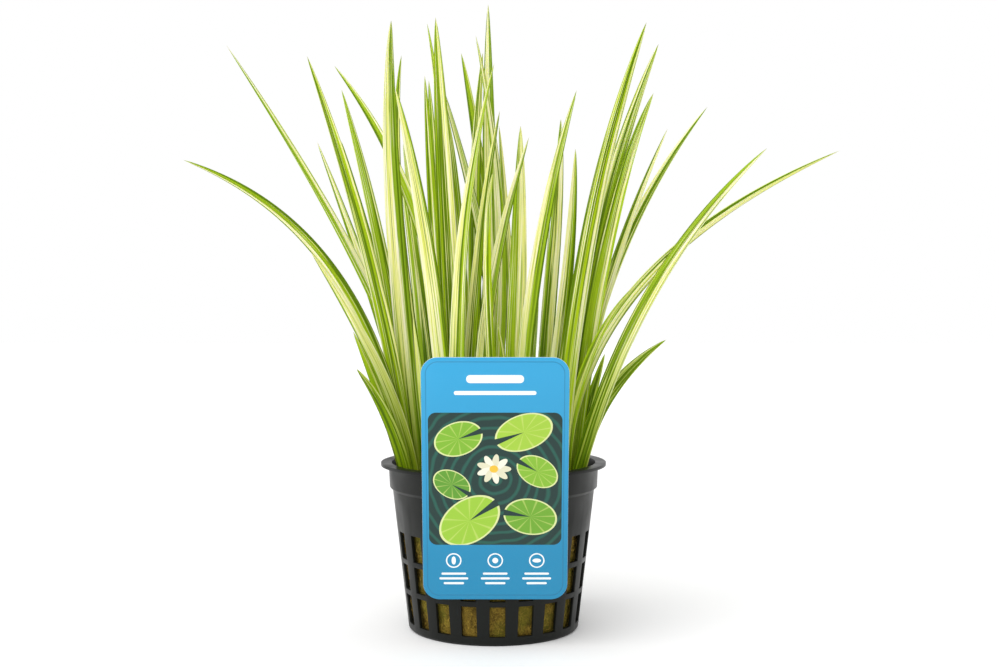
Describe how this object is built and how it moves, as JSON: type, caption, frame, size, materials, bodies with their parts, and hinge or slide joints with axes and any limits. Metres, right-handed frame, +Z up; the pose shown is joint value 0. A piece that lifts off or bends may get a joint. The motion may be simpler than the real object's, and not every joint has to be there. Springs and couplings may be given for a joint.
{
  "type": "potted sweet flag",
  "caption": "Clump of variegated sword leaves in a black mesh pond pot of fibrous growing medium, with a blue plant label hooked on the rim.",
  "frame": {"origin": "centre of the pot's flat underside, on the surface that it stands on", "axes": "+Z up along the pot's axis, -Y towards the front, where the label hangs, +X to the right seen from the front"},
  "size_m": [0.248, 0.1361, 0.251],
  "materials": {
    "pot_plastic": "satin",
    "medium": "matte",
    "leaf": "satin",
    "label_card": "satin"
  },
  "bodies": {
    "root": {"growing_medium": "medium", "leaf_back_1": "leaf", "leaf_back_2": "leaf", "leaf_back_3": "leaf", "leaf_back_4": "leaf", "leaf_centre_1": "leaf", "leaf_centre_2": "leaf", "leaf_centre_3": "leaf", "leaf_far_left_1": "leaf", "leaf_far_left_2": "leaf", "leaf_far_right_1": "leaf", "leaf_far_right_2": "leaf", "leaf_left_1": "leaf", "leaf_left_2": "leaf", "leaf_left_3": "leaf", "leaf_left_4": "leaf", "leaf_left_5": "leaf", "leaf_left_6": "leaf", "leaf_left_7": "leaf", "leaf_left_8": "leaf", "leaf_left_9": "leaf", "leaf_left_back_1": "leaf", "leaf_left_back_2": "leaf", "leaf_left_back_3": "leaf", "leaf_left_back_4": "leaf", "leaf_left_back_5": "leaf", "leaf_left_back_6": "leaf", "leaf_left_centre_1": "leaf", "leaf_left_centre_2": "leaf", "leaf_left_centre_3": "leaf", "leaf_left_centre_4": "leaf", "leaf_left_centre_5": "leaf", "leaf_middle_1": "leaf", "leaf_middle_2": "leaf", "leaf_middle_3": "leaf", "leaf_middle_4": "leaf", "leaf_middle_5": "leaf", "leaf_middle_6": "leaf", "leaf_right_1": "leaf", "leaf_right_2": "leaf", "leaf_right_3": "leaf", "leaf_right_4": "leaf", "leaf_right_5": "leaf", "leaf_right_6": "leaf", "leaf_right_7": "leaf", "leaf_right_8": "leaf", "leaf_right_9": "leaf", "leaf_right_back_1": "leaf", "leaf_right_back_2": "leaf", "leaf_right_back_3": "leaf", "leaf_right_back_4": "leaf", "leaf_right_centre_1": "leaf", "leaf_right_centre_2": "leaf", "leaf_right_centre_3": "leaf", "leaf_right_middle_1": "leaf", "leaf_right_middle_2": "leaf", "leaf_right_middle_3": "leaf", "leaf_right_middle_4": "leaf", "mesh_pot": "pot_plastic", "plant_label": "label_card"}
  },
  "joints": []
}
